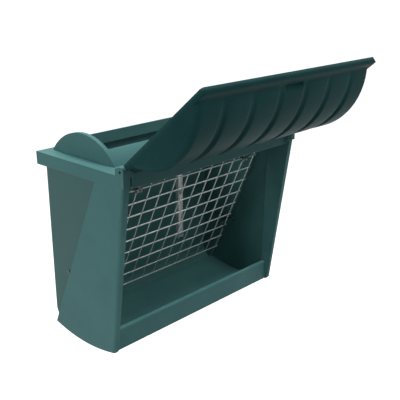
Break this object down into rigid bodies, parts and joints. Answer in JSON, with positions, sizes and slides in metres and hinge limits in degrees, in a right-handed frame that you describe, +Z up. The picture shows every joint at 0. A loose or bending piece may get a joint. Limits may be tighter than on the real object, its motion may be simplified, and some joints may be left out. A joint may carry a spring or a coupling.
{
  "type": "hanging feeder for hay and hard feed",
  "caption": "Dark green moulded hay feeder with a sloping wire grid, a trough, rear rail hooks and a ribbed barrel lid standing open.",
  "frame": {"origin": "axis of the fence rail that the two rear hooks sit on, halfway between the hooks", "axes": "+X along the feeder and the rail, +Y towards the rail at the rear, +Z up; the grid and trough face -Y"},
  "size_m": [0.77, 0.7581, 0.8707],
  "materials": {
    "tub_plastic": "moulded polyethylene, fine satin texture",
    "lid_plastic": "moulded polyethylene, fine satin texture",
    "galvanised_steel": "dull hot-dip galvanised",
    "painted_steel": "dark green powder coat",
    "zinc_steel": "bright zinc plated",
    "washer_plastic": "black nylon"
  },
  "bodies": {
    "tub": {"body_shell": "tub_plastic", "hinge_pin_left": "zinc_steel", "hinge_pin_right": "zinc_steel", "hinge_washers": "washer_plastic", "grid_long_wires": "galvanised_steel", "grid_cross_wires": "galvanised_steel", "grid_hanger_left": "painted_steel", "grid_hanger_right": "painted_steel", "hanger_screws": "zinc_steel", "hanger_nuts": "zinc_steel", "grid_clips": "painted_steel", "clip_screws_left": "painted_steel", "clip_screws_right": "zinc_steel", "clip_nuts": "zinc_steel", "stay_screws": "painted_steel", "stay_screw_nuts": "zinc_steel", "grid_stay_left": "painted_steel", "grid_stay_right": "painted_steel", "stay_bolts": "painted_steel", "stay_washers": "zinc_steel", "stay_nuts": "zinc_steel", "hook_left": "galvanised_steel", "hook_right": "galvanised_steel", "channel_left": "galvanised_steel", "channel_right": "galvanised_steel", "hook_bolts": "zinc_steel", "hook_washers": "zinc_steel", "hook_nuts": "zinc_steel"},
    "lid": {"lid_shell": "lid_plastic"}
  },
  "joints": [
    {"name": "lid_hinge", "type": "hinge", "parent": "tub", "child": "lid", "pos_m": [0, -0.4195, 0.0845], "axis": [1, 0, 0], "range_deg": [-139.75, 0]}
  ]
}
